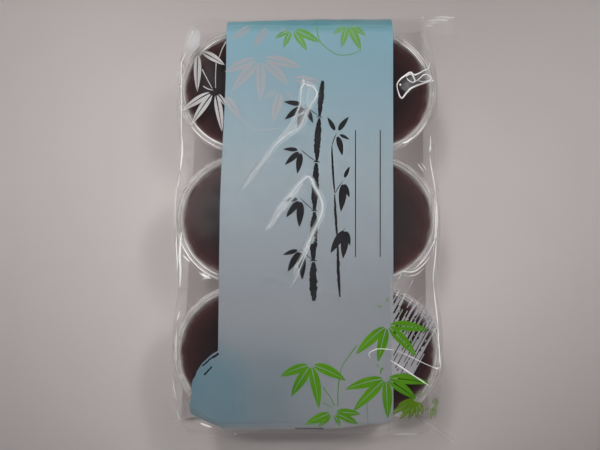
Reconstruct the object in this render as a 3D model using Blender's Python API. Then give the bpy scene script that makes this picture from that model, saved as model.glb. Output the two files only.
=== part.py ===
"""A sealed clear film pack of six round dessert cups, two across and three along.

The pack is one closed solid, the outer form of its film: taut over the cups' round rims, sunk in the
hollows between them, drawn in at the sides towards the cups' smaller bases, and running out at each
end to a flat seal with loose corners. It lies on its back with the rims up. X runs across the pack,
Y along it and Z up, and the origin is the middle of the underside. Sizes are in metres.
"""

import math

import bmesh
import bpy
from mathutils import Euler, Matrix

# The cups, which set the size of everything else
COLUMNS = 2
ROWS = 3
RIM_DIAMETER = 0.071
RIM_RADIUS = RIM_DIAMETER / 2
CUP_HEIGHT = 0.026
CUP_BASE_RADIUS = 0.026

# The film's form over them
FILM_SLACK = 0.0006
BASE_SLACK = 0.0015
TOP_HEIGHT = CUP_HEIGHT + FILM_SLACK
HOLLOW_DEPTH = 0.0012
HOLLOW_REACH = 0.013
WAIST_DEPTH = 0.0024
RIM_HALF_WIDTH = COLUMNS * RIM_RADIUS + FILM_SLACK
RIM_HALF_LENGTH = ROWS * RIM_RADIUS + FILM_SLACK
BASE_HALF_WIDTH = (COLUMNS - 1) * RIM_RADIUS + CUP_BASE_RADIUS + BASE_SLACK

# How far the film runs out past the rims at its far and near ends
FAR_REACH = 0.0150
NEAR_REACH = 0.0097

# Near its ends the film keeps the rims' width further down: from where, over what length, and how much
FLARE_START = 0.080
FLARE_LENGTH = 0.030
FLARE_SHARE = 0.75

# Level sections of the wall, from the underside up: the share of the height, how far the section has
# gone from the base's half width to the rims', its share of the ends' reach, and its corners' radius
SECTIONS = (
    (0.00, 0.00, 0.34, 0.010),
    (0.05, 0.30, 0.90, 0.009),
    (0.14, 0.62, 1.00, 0.009),
    (0.30, 0.78, 0.88, 0.012),
    (0.52, 0.88, 0.58, 0.018),
    (0.76, 0.96, 0.26, 0.026),
    (1.00, 1.00, 0.00, 0.033),
)

# The mesh's spacing across and along the pack
CELLS_ACROSS = 32
CELLS_ALONG = 50
FLAT = 1e-6

# The end seals' loose corners: thin plates, crimped along one edge
EAR_THICKNESS = 0.0008
CRIMP_PITCH = 0.0017
CRIMP_HEIGHT = 0.0005
CRIMPS = 4
CRIMP_STEPS = 4

# Each loose corner's length and width, its middle, and its turns in degrees about X, Y and Z. The far
# right one lies flat and sticks out, the near right one stands on edge, the near left one is folded up.
FAR_END = RIM_HALF_LENGTH + FAR_REACH
NEAR_END = -RIM_HALF_LENGTH - NEAR_REACH
SIDE = RIM_HALF_WIDTH
EARS = {
    "far right ear": ((0.0300, 0.0155), (SIDE, FAR_END - 0.0070, 0.0028), (0, 2, -1)),
    "near right ear": ((0.0240, 0.0080), (SIDE - 0.0015, NEAR_END + 0.0037, 0.0046), (68, 0, 144)),
    "near left ear": ((0.0120, 0.0120), (-SIDE - 0.0010, NEAR_END + 0.0142, 0.0062), (24, 6, 97)),
}


def clear_scene():
    for obj in list(bpy.data.objects):
        bpy.data.objects.remove(obj, do_unlink=True)


def new_collection(name):
    collection = bpy.data.collections.new(name)
    bpy.context.scene.collection.children.link(collection)
    return collection


def material(name, colour, roughness, transmission):
    """A Principled finish with no texture, enough to tell the pieces apart."""
    made = bpy.data.materials.new(name)
    made.use_nodes = True
    shader = made.node_tree.nodes["Principled BSDF"]
    shader.inputs["Base Color"].default_value = (*colour, 1)
    shader.inputs["Roughness"].default_value = roughness
    shader.inputs["Metallic"].default_value = 0
    shader.inputs["Transmission Weight"].default_value = transmission
    return made


def ease(t):
    """0 to 1 with level ends, as t goes from 0 to 1."""
    t = min(max(t, 0), 1)
    return t * t * (3 - 2 * t)


def past_rim(x, y):
    """How far a point in plan lies outside the nearest cup's rim, 0 over a cup."""
    column = min(max(round(x / RIM_DIAMETER + 0.5), 0), COLUMNS - 1)
    row = min(max(round(y / RIM_DIAMETER + (ROWS - 1) / 2), 0), ROWS - 1)
    centre_x = (column - (COLUMNS - 1) / 2) * RIM_DIAMETER
    centre_y = (row - (ROWS - 1) / 2) * RIM_DIAMETER
    return max(math.hypot(x - centre_x, y - centre_y) - RIM_RADIUS, 0)


def top_height(x, y):
    """The film's height: level over the cups, sunk in the hollows between them."""
    return TOP_HEIGHT - HOLLOW_DEPTH * ease(past_rim(x, y) / HOLLOW_REACH)


def section_at(level, along):
    """The wall's section at a share of the height: half width, half length and corner radius.

    The half width depends on the place along the pack too, from -1 to 1.
    """
    for lower, upper in zip(SECTIONS, SECTIONS[1:]):
        if level <= upper[0]:
            break
    part = (level - lower[0]) / (upper[0] - lower[0])
    width, reach, corner = (a + (b - a) * part for a, b in zip(lower[1:], upper[1:]))
    length = RIM_HALF_LENGTH + reach * (FAR_REACH if along > 0 else NEAR_REACH)
    flare = FLARE_SHARE * ease((abs(along) * length - FLARE_START) / FLARE_LENGTH)
    drawn_in = (RIM_HALF_WIDTH - BASE_HALF_WIDTH) * (1 - width) * (1 - flare)
    return RIM_HALF_WIDTH - drawn_in, length, corner


def rounded(x, y, half_width, half_length, corner):
    """A point of a rectangle moved in so that the rectangle's corners become round."""
    past_x = abs(x) - (half_width - corner)
    past_y = abs(y) - (half_length - corner)
    if past_x <= 0 or past_y <= 0:
        return x, y
    pull = max(past_x, past_y) / math.hypot(past_x, past_y)
    return (
        math.copysign(half_width - corner + past_x * pull, x),
        math.copysign(half_length - corner + past_y * pull, y),
    )


def waist(across, y, level):
    """How far a side draws in beside the hollows between cups, most at the rims' height."""
    between_rows = past_rim(RIM_HALF_WIDTH, y) / (RIM_RADIUS * (math.sqrt(2) - 1))
    inside = abs(y) < RIM_HALF_LENGTH - RIM_RADIUS
    return WAIST_DEPTH * ease(between_rows) * level * abs(across) ** 3 if inside else 0


def slice_mesh(mesh, place, normal):
    """Cuts every face that crosses a plane, and keeps both sides."""
    everything = mesh.verts[:] + mesh.edges[:] + mesh.faces[:]
    bmesh.ops.bisect_plane(mesh, geom=everything, plane_co=place, plane_no=normal)


def make_pack(name, collection, finish):
    """The film over the cups: a cube cut into cells, whose points move out to the film."""
    mesh = bmesh.new()
    bmesh.ops.create_cube(mesh, size=2)
    for i in range(1, CELLS_ACROSS):
        slice_mesh(mesh, (2 * i / CELLS_ACROSS - 1, 0, 0), (1, 0, 0))
    for i in range(1, CELLS_ALONG):
        slice_mesh(mesh, (0, 2 * i / CELLS_ALONG - 1, 0), (0, 1, 0))
    for share, *_ in SECTIONS[1:-1]:
        slice_mesh(mesh, (0, 0, 2 * share - 1), (0, 0, 1))
    for vert in mesh.verts:
        across, along = vert.co.x, vert.co.y
        level = (vert.co.z + 1) / 2
        half_width, half_length, corner = section_at(level, along)
        x, y = rounded(across * half_width, along * half_length, half_width, half_length, corner)
        x -= math.copysign(waist(across, y, level), x)
        vert.co = (x, y, top_height(x, y) * level)
    underside = [face for face in mesh.faces if face.calc_center_median().z < FLAT]
    bmesh.ops.dissolve_faces(mesh, faces=underside)
    bmesh.ops.recalc_face_normals(mesh, faces=mesh.faces)
    return object_of(mesh, name, collection, finish)


def object_of(mesh, name, collection, finish):
    data = bpy.data.meshes.new(name)
    mesh.to_mesh(data)
    mesh.free()
    data.materials.append(finish)
    data.shade_smooth()
    data.set_sharp_from_angle(angle=math.radians(40))
    obj = bpy.data.objects.new(name, data)
    collection.objects.link(obj)
    return obj


def make_ear(name, size, place, turns, collection, finish):
    """A loose corner of an end seal: a thin plate, corrugated along the edge that faces its own +Y."""
    mesh = bmesh.new()
    bmesh.ops.create_cube(mesh, size=1, matrix=Matrix.Diagonal((*size, EAR_THICKNESS, 1)))
    inner_edge = size[1] / 2 - CRIMPS * CRIMP_PITCH
    for i in range(CRIMPS * CRIMP_STEPS):
        slice_mesh(mesh, (0, inner_edge + i * CRIMP_PITCH / CRIMP_STEPS, 0), (0, 1, 0))
    for vert in mesh.verts:
        phase = max(vert.co.y - inner_edge, 0) / CRIMP_PITCH
        vert.co.z += CRIMP_HEIGHT * math.sin(2 * math.pi * phase)
    turn = Euler([math.radians(degrees) for degrees in turns]).to_matrix().to_4x4()
    bmesh.ops.transform(mesh, matrix=Matrix.Translation(place) @ turn, verts=mesh.verts)
    bmesh.ops.recalc_face_normals(mesh, faces=mesh.faces)
    ear = object_of(mesh, name, collection, finish)
    ear.hide_render = True
    ear.display_type = "WIRE"
    return ear


def fuse(pack, others):
    """Joins each ear to the pack and applies it, so that the pack stays one closed solid."""
    for other in others:
        union = pack.modifiers.new("join " + other.name, "BOOLEAN")
        union.operation = "UNION"
        union.solver = "EXACT"
        union.object = other
    evaluated = pack.evaluated_get(bpy.context.evaluated_depsgraph_get())
    joined = bpy.data.meshes.new_from_object(evaluated)
    pack.modifiers.clear()
    pack.data = joined
    for other in others:
        bpy.data.objects.remove(other, do_unlink=True)


clear_scene()
parts = new_collection("Film pack of cups")
helpers = new_collection("Helpers")
film = material("Clear film over dark jelly", (0.16, 0.10, 0.10), 0.15, 0.2)
film_pack = make_pack("film_pack", parts, film)
ears = [make_ear(name, *shape, helpers, film) for name, shape in EARS.items()]
fuse(film_pack, ears)
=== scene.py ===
"""A sealed film pack of six cups of soft dark yokan, lying on its back on a pale table.

The sections follow the pack as it is put together: the cups, what they hold, their lids, the film with
its folds and seals, and last the print on the film's inner side. Sizes are in mm where they are named,
and the meshes are in metres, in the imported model's own frame.
"""

import math

import bmesh
import bpy
import numpy as np
from mathutils import Euler, Matrix, Vector


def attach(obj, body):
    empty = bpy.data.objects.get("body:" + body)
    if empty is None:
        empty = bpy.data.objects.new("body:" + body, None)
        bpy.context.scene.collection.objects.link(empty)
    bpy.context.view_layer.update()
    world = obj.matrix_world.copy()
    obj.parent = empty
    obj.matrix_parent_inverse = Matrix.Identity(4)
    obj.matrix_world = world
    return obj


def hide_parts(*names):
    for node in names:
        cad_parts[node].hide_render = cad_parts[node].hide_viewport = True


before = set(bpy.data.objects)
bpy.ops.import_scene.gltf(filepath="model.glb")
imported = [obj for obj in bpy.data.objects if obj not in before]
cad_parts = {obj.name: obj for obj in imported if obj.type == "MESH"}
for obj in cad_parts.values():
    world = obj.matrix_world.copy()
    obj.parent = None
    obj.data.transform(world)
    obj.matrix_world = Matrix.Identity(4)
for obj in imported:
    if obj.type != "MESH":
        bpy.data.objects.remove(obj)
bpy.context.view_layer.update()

# The room: a pale table under soft lamps, with windows and ceiling panels that the film reflects, and the
# camera looking down from the pack's near side. None of this is part of the object.
mm = 0.001
table_size = 3000
table_drop = 0.3
table_tints = ((0.35, (0.520, 0.474, 0.465)), (0.65, (0.550, 0.500, 0.490)))
# The room's light by height: pale walls all round, and a dark middle of the ceiling above the camera
room_tints = ((0.30, (0.22, 0.213, 0.213)), (0.82, (0.035, 0.032, 0.034)))
camera_target = Vector((-4.0, -3.4, 26.0)) * mm
camera_distance = 400 * mm
camera_tilt = math.asin(0.12)
camera_lens = 44.6
# Each lamp: its place and what it is turned to, its width and length in metres, power, and spread in degrees
lamps = {
    "lamp far left": ((-0.48, 1.00, 0.95), (-0.08, 0.06, 0), 0.28, 0.28, 0.140, 14),
    "lamp far right": ((0.95, 0.72, 0.90), (0.15, 0.055, 0), 0.28, 0.28, 0.175, 16),
    "lamp left": ((-0.62, 0.45, 0.95), (-0.12, 0.02, 0), 0.30, 0.30, 0.080, 14),
    "lamp right": ((0.85, 0.40, 0.90), (0.13, 0.00, 0), 0.30, 0.30, 0.056, 14),
    "side light": ((-0.60, 0.0, 0.33), (0, 0, 0.02), 0.05, 0.60, 0.70, 180),
    "lamp near": ((0.0, -0.50, 0.07), (0, -0.11, 0.020), 0.14, 0.03, 0.018, 24),
    "window left": ((-0.60, 0.0, 0.35), (0, 0, 0.02), 0.05, 0.60, 0.10, 180),
    "window right": ((0.60, 0.0, 0.35), (0, 0, 0.02), 0.05, 0.60, 0.10, 180),
    "ceiling panel left": ((-0.180, 0.170, 1.03), (-0.180, 0.170, 0), 0.18, 0.12, 0.027, 180),
    "ceiling panel right": ((0.190, 0.150, 1.03), (0.190, 0.150, 0), 0.10, 0.16, 0.006, 180),
}


def add_node(tree, kind, inputs=None, **settings):
    """Adds a node with its settings. An input is given a value, or the socket that feeds it."""
    node = tree.nodes.new(kind)
    for name, value in settings.items():
        setattr(node, name, value)
    for name, value in (inputs or {}).items():
        if isinstance(value, bpy.types.NodeSocket):
            tree.links.new(value, node.inputs[name])
        else:
            node.inputs[name].default_value = value
    return node


def noise(tree, place, scale, detail, distortion=0.0):
    """A value from 0 to 1 that varies from place to place."""
    inputs = {"Vector": place, "Scale": scale, "Detail": detail, "Distortion": distortion}
    return add_node(tree, "ShaderNodeTexNoise", inputs).outputs["Fac"]


def tint_of(tree, value, stops, interpolation="LINEAR"):
    """The colour for a value, between stops that each have a place from 0 to 1 and a colour."""
    tint = add_node(tree, "ShaderNodeValToRGB", {"Fac": value})
    ramp = tint.color_ramp
    ramp.interpolation = interpolation
    for element, (position, color) in zip(ramp.elements, (stops[0], stops[-1])):
        element.position = position
        element.color = (*color, 1)
    for position, color in stops[1:-1]:
        ramp.elements.new(position).color = (*color, 1)
    return tint.outputs["Color"]


def bsdf(tree, kind, inputs=None):
    """A surface's shader."""
    return add_node(tree, "ShaderNodeBsdf" + kind, inputs).outputs["BSDF"]


def new_finish(name):
    """A material with its bare tree, the place on the object, and the socket that its surface goes to."""
    finish = bpy.data.materials.new(name)
    finish.use_nodes = True
    tree = finish.node_tree
    tree.nodes.clear()
    surface = add_node(tree, "ShaderNodeOutputMaterial").inputs["Surface"]
    return finish, tree, add_node(tree, "ShaderNodeTexCoord").outputs["Object"], surface


def table_finish():
    """Smooth pale board, a little mottled."""
    finish, tree, place, surface = new_finish("pale table")
    tint = tint_of(tree, noise(tree, place, 6, 3), table_tints)
    tree.links.new(bsdf(tree, "Principled", {"Base Color": tint, "Roughness": 0.55}), surface)
    return finish


def placed(name, data):
    """Puts a mesh, a lamp or a camera into the scene."""
    piece = bpy.data.objects.new(name, data)
    bpy.context.scene.collection.objects.link(piece)
    return piece


def lamp(name, place, aim, width, length, power, spread):
    """A soft rectangular lamp. Only windows and ceiling panels are seen in glossy things."""
    light = bpy.data.lights.new(name, "AREA")
    light.spread = math.radians(spread)
    light.shape = "RECTANGLE"
    light.size = width
    light.size_y = length
    light.energy = power
    holder = placed(name, light)
    holder.visible_glossy = name.startswith(("window", "ceiling"))
    holder.location = place
    holder.rotation_euler = (Vector(aim) - Vector(place)).to_track_quat("-Z", "Y").to_euler()


def room_light():
    """The room's even light, darker overhead."""
    world = bpy.data.worlds.new("room")
    world.use_nodes = True
    tree = world.node_tree
    way = add_node(tree, "ShaderNodeTexCoord").outputs["Generated"]
    height = add_node(tree, "ShaderNodeSeparateXYZ", {"Vector": way}).outputs["Z"]
    tree.links.new(tint_of(tree, height, room_tints), tree.nodes["Background"].inputs["Color"])
    return world


table_mesh = bpy.data.meshes.new("table")
reach = table_size * mm / 2
table_mesh.from_pydata(
    [(x, y, -table_drop * mm) for x, y in ((-reach, -reach), (reach, -reach), (reach, reach), (-reach, reach))],
    [], [(0, 1, 2, 3)],
)
table_mesh.materials.append(table_finish())
table = placed("table", table_mesh)
for name, settings in lamps.items():
    lamp(name, *settings)
bpy.context.scene.world = room_light()

camera = placed("camera", bpy.data.cameras.new("camera"))
camera.data.lens = camera_lens
camera.data.clip_start = 0.01
camera.location = camera_target + camera_distance * Vector((0, -math.sin(camera_tilt), math.cos(camera_tilt)))
camera.rotation_euler = (camera_tilt, 0, 0)
bpy.context.scene.camera = camera
bpy.context.scene.view_settings.view_transform = "Standard"

# The cups: six thin cups of natural translucent plastic, vacuum formed, two across and three along. Each
# has a flat round rim with its lip turned down, and a raised bead that the lid is welded to.
cup_pitch = 71.0
cup_columns = 2
cup_rows = 3
cup_profile = (
    (0, 1.3), (23.2, 1.3), (24.2, 0.7), (25.4, 0.7), (26.0, 1.4), (31.9, 24.0), (32.3, 24.8),
    (34.8, 24.8), (34.8, 24.0), (35.3, 24.0), (35.3, 25.3), (35.0, 25.65), (34.1, 25.7),
    (33.85, 25.95), (33.55, 26.0), (33.25, 25.95), (33.0, 25.7), (32.4, 25.6), (31.9, 25.2),
    (31.4, 24.0), (25.5, 2.0), (25.0, 1.8), (0, 1.8),
)
cup_steps = 160
cup_rim = 35.3
# How white the plastic is at each radius: whiter in its folds, with painted highlight lines at the flange's
# inner edge, the bead's outer side and the outer lip
cup_whiteness_and_highlights = (
    (0.0, 0.26), (31.3, 0.26), (31.7, 0.34), (32.1, 0.66), (32.5, 0.66), (32.8, 0.40), (33.5, 0.38),
    (33.8, 0.56), (34.1, 0.56), (34.4, 0.34), (34.8, 0.32), (35.0, 0.44), (35.3, 0.40),
)
# How much that whiteness, painted highlights and all, varies from place to place
cup_patchiness = (0.15, 1.15)
cup_white = (0.74, 0.71, 0.70, 1)
cup_clear = (0.93, 0.92, 0.91, 1)
# Edges that turn less than this, in degrees, look smooth
smooth_below = 35
# The share of light that one face of thin plastic mirrors face on, what is added at a grazing angle, and how
# suddenly
mirror_face_on = 0.04
mirror_grazing = 0.55
mirror_falloff = 5.0


def turned(name, profile, steps):
    """A piece turned about Z from a profile of radii and heights in mm."""
    mesh = bmesh.new()
    points = [mesh.verts.new((radius * mm, 0, height * mm)) for radius, height in profile]
    edges = [mesh.edges.new(pair) for pair in zip(points, points[1:])]
    bmesh.ops.spin(
        mesh, geom=points + edges, cent=(0, 0, 0), axis=(0, 0, 1), angle=2 * math.pi, steps=steps,
        use_merge=True,
    )
    bmesh.ops.remove_doubles(mesh, verts=mesh.verts, dist=1e-6)
    bmesh.ops.recalc_face_normals(mesh, faces=mesh.faces)
    return piece_of(mesh, name)


def piece_of(mesh, name):
    """Puts a bmesh into the scene as a smooth-shaded piece."""
    data = bpy.data.meshes.new(name)
    mesh.to_mesh(data)
    mesh.free()
    data.shade_smooth()
    data.set_sharp_from_angle(angle=math.radians(smooth_below))
    return placed(name, data)


def new_tree(name, sockets):
    """A Geometry Nodes tree with a Geometry input and output, and named inputs of the given kinds."""
    tree = bpy.data.node_groups.new(name, "GeometryNodeTree")
    tree.interface.new_socket("Geometry", in_out="INPUT", socket_type="NodeSocketGeometry")
    for label, kind in sockets.items():
        tree.interface.new_socket(label, in_out="INPUT", socket_type="NodeSocket" + kind)
    tree.interface.new_socket("Geometry", in_out="OUTPUT", socket_type="NodeSocketGeometry")
    given = add_node(tree, "NodeGroupInput").outputs
    result = add_node(tree, "NodeGroupOutput").inputs["Geometry"]
    return tree, given, result


def shape_by(piece, tree, values):
    """Runs a piece through a tree, and keeps the result as its plain mesh."""
    modifier = piece.modifiers.new(tree.name, "NODES")
    modifier.node_group = tree
    for item in tree.interface.items_tree:
        if item.in_out == "INPUT" and item.name in values:
            modifier[item.identifier] = values[item.name]
    keep_as_mesh(piece)


def keep_as_mesh(piece):
    """Turns a piece's modifiers into its own plain mesh, and removes them."""
    evaluated = piece.evaluated_get(bpy.context.evaluated_depsgraph_get())
    mesh = bpy.data.meshes.new_from_object(evaluated)
    piece.modifiers.clear()
    piece.data = mesh


def finish_piece(piece):
    """Every piece rides on the one body."""
    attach(piece, "root")


def math_of(tree, operation, *values, **settings):
    """The result of a sum on numbers, or on the sockets that feed it."""
    return add_node(tree, "ShaderNodeMath", dict(enumerate(values)), operation=operation, **settings).outputs[0]


def ranged(tree, value, start, end, low=0.0, high=1.0, **settings):
    """A value brought from the range of start to end into that of low to high."""
    inputs = {"Value": value, "From Min": start, "From Max": end, "To Min": low, "To Max": high}
    return add_node(tree, "ShaderNodeMapRange", inputs, **settings).outputs["Result"]


def bump_of(tree, height, strength, distance):
    """The normal of a surface that is uneven by a height."""
    inputs = {"Height": height, "Strength": strength, "Distance": distance}
    return add_node(tree, "ShaderNodeBump", inputs).outputs["Normal"]


def mixed(tree, share, first, second):
    """Two shaders mixed by the second one's share."""
    return add_node(tree, "ShaderNodeMixShader", {"Fac": share, 1: first, 2: second}).outputs["Shader"]


def kept_value(tree, name):
    """A value that a mesh keeps at its points."""
    return add_node(tree, "ShaderNodeAttribute", attribute_name=name).outputs["Fac"]


def mirror_share(tree, normal, faces):
    """The share of light that a thin sheet's faces mirror, the same for rays from either side."""
    facing = add_node(tree, "ShaderNodeLayerWeight", {"Blend": 0.5, "Normal": normal}).outputs["Facing"]
    grazing = math_of(tree, "POWER", facing, mirror_falloff)
    return math_of(
        tree, "MULTIPLY_ADD", grazing, mirror_grazing * faces, mirror_face_on * faces, use_clamp=True
    )


def end_tree(tree, geometry, given, result):
    """Ends a tree in real geometry that has the given finish."""
    real = add_node(tree, "GeometryNodeRealizeInstances", {"Geometry": geometry}).outputs["Geometry"]
    done = add_node(tree, "GeometryNodeSetMaterial", {"Geometry": real, "Material": given["Finish"]})
    tree.links.new(done.outputs["Geometry"], result)
    return tree


def rows_of_cups():
    """The tree that sets copies of one turned piece in rows, each turned a little differently."""
    tree, given, result = new_tree(
        "Rows of cups",
        {"Columns": "Int", "Rows": "Int", "Pitch": "Float", "Seed": "Int", "Finish": "Material"},
    )
    width, length = (
        math_of(tree, "MULTIPLY", math_of(tree, "SUBTRACT", given[count], 1), given["Pitch"])
        for count in ("Columns", "Rows")
    )
    places = add_node(
        tree, "GeometryNodeMeshGrid",
        {"Size X": width, "Size Y": length, "Vertices X": given["Columns"], "Vertices Y": given["Rows"]},
    )
    turn = add_node(
        tree, "FunctionNodeRandomValue",
        {"Min": (0, 0, -math.pi), "Max": (0, 0, math.pi), "Seed": given["Seed"]}, data_type="FLOAT_VECTOR",
    )
    copies = add_node(
        tree, "GeometryNodeInstanceOnPoints",
        {"Points": places.outputs["Mesh"], "Instance": given["Geometry"], "Rotation": turn.outputs["Value"]},
    )
    return end_tree(tree, copies.outputs["Instances"], given, result)


cup_rows_tree = rows_of_cups()


def set_in_rows(piece, finish, seed):
    """Sets copies of a turned piece in the cups' places."""
    shape_by(
        piece, cup_rows_tree,
        {"Columns": cup_columns, "Rows": cup_rows, "Pitch": cup_pitch * mm, "Seed": seed, "Finish": finish},
    )


def mark_distance(piece, radius):
    """Keeps each point's distance from the piece's axis, as a share of a radius in mm."""
    distance = piece.data.attributes.new("from_middle", "FLOAT", "POINT")
    for point, vert in zip(distance.data, piece.data.vertices):
        point.value = math.hypot(vert.co.x, vert.co.y) / (radius * mm)


def cup_finish():
    """Thin plastic that shows what is behind it, whiter where its folds give more plastic, with painted
    highlight lines round the rim.
    """
    finish, tree, place, surface = new_finish("translucent cup")
    normal = bump_of(tree, noise(tree, place, 900, 2), 0.12, 0.0004)
    whiteness = [(radius / cup_rim, (share, share, share)) for radius, share in cup_whiteness_and_highlights]
    thick_and_highlit = tint_of(tree, kept_value(tree, "from_middle"), whiteness)
    share = math_of(tree, "MULTIPLY", thick_and_highlit, ranged(tree, noise(tree, place, 110, 3), 0, 1, *cup_patchiness))
    share = math_of(tree, "ADD", share, mirror_share(tree, normal, 1), use_clamp=True)
    fold_highlight = bsdf(tree, "Principled", {"Base Color": cup_white, "Roughness": 0.32, "Normal": normal})
    tree.links.new(mixed(tree, share, bsdf(tree, "Transparent", {"Color": cup_clear}), fold_highlight), surface)
    return finish


cups = turned("cups", cup_profile, cup_steps)
mark_distance(cups, cup_rim)
set_in_rows(cups, cup_finish(), 3)
finish_piece(cups)

# The yokan: soft dark red bean jelly, poured hot into the cups and set there. It reaches just into the cup's
# wall all round, with a low meniscus. Its redder edge, where light comes through, is painted light in its
# colour.
yokan_top = 23.1
yokan_profile = (
    (0, 1.6), (24.9, 1.6), (25.6, 2.4), (31.35, 23.2), (31.45, 23.75), (31.1, 23.55), (30.5, 23.28),
    (29.6, 23.15), (28.0, yokan_top), (20.0, yokan_top), (10.0, yokan_top), (0, yokan_top),
)
yokan_steps = 96
yokan_radius = 31.4
# The tints from the middle out to the wall, the outer ones painted light that comes through the edge, and how
# much of their place is distance and how much is blotch
yokan_tints_and_edge_glow = (
    (0.55, (0.0185, 0.0097, 0.0104)), (0.81, (0.0400, 0.0150, 0.0160)), (0.875, (0.0720, 0.0310, 0.0310)),
    (0.93, (0.240, 0.195, 0.185)),
)
yokan_outward = 0.85
yokan_blotch = 0.136


def yokan_finish():
    """Near black red-brown, smooth and moist, with painted light making it redder towards the cup's wall."""
    finish, tree, place, surface = new_finish("dark yokan")
    outward = math_of(tree, "MULTIPLY", kept_value(tree, "from_middle"), yokan_outward)
    blotch = math_of(tree, "MULTIPLY_ADD", noise(tree, place, 90, 4), yokan_blotch, outward)
    tint = tint_of(tree, blotch, yokan_tints_and_edge_glow, "EASE")
    normal = bump_of(tree, noise(tree, place, 60, 2), 0.06, 0.001)
    jelly = bsdf(tree, "Principled", {"Base Color": tint, "Roughness": 0.14, "IOR": 1.38, "Normal": normal})
    tree.links.new(jelly, surface)
    return finish


yokan = turned("yokan", yokan_profile, yokan_steps)
mark_distance(yokan, yokan_radius)
set_in_rows(yokan, yokan_finish(), 5)
finish_piece(yokan)

# The lids: a clear film welded to each cup's bead, slack by a fraction of a millimetre, with fine
# puckers round the weld.
lid_profile = ((0, 25.72), (8, 25.73), (16, 25.78), (24, 25.88), (30, 25.98), (33.5, 26.04), (34.7, 25.80))
lid_steps = 180
pucker_count = 45
pucker_depth = 0.035
# Where the film's painted sheen grows, white haze that stands in for the light that the pack's sides and near
# end reflect, in metres, each from and to, with its share at each where that isn't 0 and 1: down from the rims,
# at the left and the right, from near to far along the left, short of the corners, and at the near end
sheen_down = (0.0264, 0.0240)
sheen_left = (-0.0605, -0.0655)
sheen_right = (0.0605, 0.0655, 0, 0.3)
sheen_along_left = (-0.055, 0.015, 0.40, 1.0)
sheen_corners = (0.097, 0.085)
sheen_near_end = (-0.1112, -0.1130, 0, 0.12)
# The film's white haze and painted sheen: their tint, and the share of the sheen's light that it passes on
# rather than throws back
haze_and_sheen_tint = (1.0, 0.975, 0.97)
sheen_passed = 0.55


def painted_sheen_growth(tree, place):
    """How far the film's painted sheen has grown, from 0 to 1: it grows down the pack's sides and its near end.
    """
    across, along, height = add_node(tree, "ShaderNodeSeparateXYZ", {"Vector": place}).outputs
    aside = math_of(tree, "MULTIPLY", ranged(tree, across, *sheen_left), ranged(tree, along, *sheen_along_left))
    aside = math_of(tree, "MAXIMUM", aside, ranged(tree, across, *sheen_right))
    corners = ranged(tree, math_of(tree, "ABSOLUTE", along), *sheen_corners)
    aside = math_of(tree, "MULTIPLY", aside, corners)
    aside = math_of(tree, "MAXIMUM", aside, ranged(tree, along, *sheen_near_end))
    return math_of(tree, "MULTIPLY", ranged(tree, height, *sheen_down), aside)


def clear_finish(name, haze, roughness, crinkle_scale, crinkle_depth, painted_side_sheen=None, whiteness=0.80, faces=1.3):
    """Clear film: the light that it doesn't reflect goes straight through, but for a little haze.

    Where a side sheen is given, a painted sheen of white haze grows to it down the pack's sides, standing in for
    the light that they reflect. The film casts no shade: what it turns aside lights the same place from
    elsewhere.
    """
    finish, tree, place, surface = new_finish(name)
    normal = bump_of(tree, noise(tree, place, crinkle_scale, 2, 0.6), 1.0, crinkle_depth * mm)
    through = bsdf(tree, "Transparent", {"Color": (0.985, 0.985, 0.985, 1)})
    gloss = bsdf(tree, "Glossy", {"Color": (1, 1, 1, 1), "Roughness": roughness, "Normal": normal})
    film = mixed(tree, mirror_share(tree, normal, faces), through, gloss)
    white = {"Color": (*(whiteness * part for part in haze_and_sheen_tint), 1)}
    white_haze_and_sheen = bsdf(tree, "Diffuse", white)
    if painted_side_sheen is not None:
        white_haze_and_sheen = mixed(tree, sheen_passed, white_haze_and_sheen, bsdf(tree, "Translucent", white))
        haze = ranged(tree, painted_sheen_growth(tree, place), 0, 1, haze, painted_side_sheen)
    shadow_ray = add_node(tree, "ShaderNodeLightPath").outputs["Is Shadow Ray"]
    tree.links.new(mixed(tree, shadow_ray, mixed(tree, haze, film, white_haze_and_sheen), bsdf(tree, "Transparent")), surface)
    return finish


lids = turned("lids", lid_profile, lid_steps)
for vert in lids.data.vertices:
    outward = math.hypot(vert.co.x, vert.co.y) / (lid_profile[-1][0] * mm)
    turn = math.atan2(vert.co.y, vert.co.x)
    vert.co.z += pucker_depth * mm * outward ** 6 * math.sin(pucker_count * turn)
set_in_rows(lids, clear_finish("clear lid", 0.004, 0.12, 60, 0.03), 8)
finish_piece(lids)

# The back: the film under the cups carries a pale panel, printed on its inner side, nearly as wide as
# the pack. It shows between the cups. The tube's long seam and its folded end seals lie flat below it.
back_height = 0.35
panel_west = -66.4
panel_slant = 0.030
panel_east = 66.9
panel_flat = 57.0
panel_near = -108.0
panel_far = 114.0
# The panel's height above the back, its cells, and how far, over what width and how suddenly it rises at
# both sides
panel_lift = 0.15
panel_cell = 2
panel_rise = 2.3
panel_rise_width = 9.9
panel_rise_power = 1.6
panel_tints = ((0.46, 0.405, 0.40), (0.50, 0.445, 0.44))
print_roughness = 0.42


def print_finish(name, tints, noise_scale):
    """Ink on film, seen through it: unevenly between two tints."""
    finish, tree, place, surface = new_finish(name)
    tint = tint_of(tree, noise(tree, place, noise_scale, 4), tuple(zip((0.3, 0.7), tints)))
    tree.links.new(bsdf(tree, "Principled", {"Base Color": tint, "Roughness": print_roughness}), surface)
    return finish


def flat_sheet(name, west, east, south, north, height, step):
    """A level sheet of square cells between four edges, all in mm."""
    mesh = bmesh.new()
    columns = max(round((east - west) / step), 1)
    rows = max(round((north - south) / step), 1)
    middle = Vector(((west + east) / 2, (south + north) / 2, height)) * mm
    size = Vector((east - west, north - south, 1)) * mm
    bmesh.ops.create_grid(
        mesh, x_segments=columns, y_segments=rows, size=0.5,
        matrix=Matrix.Translation(middle) @ Matrix.Diagonal((*size, 1)),
    )
    return piece_of(mesh, name)


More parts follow.
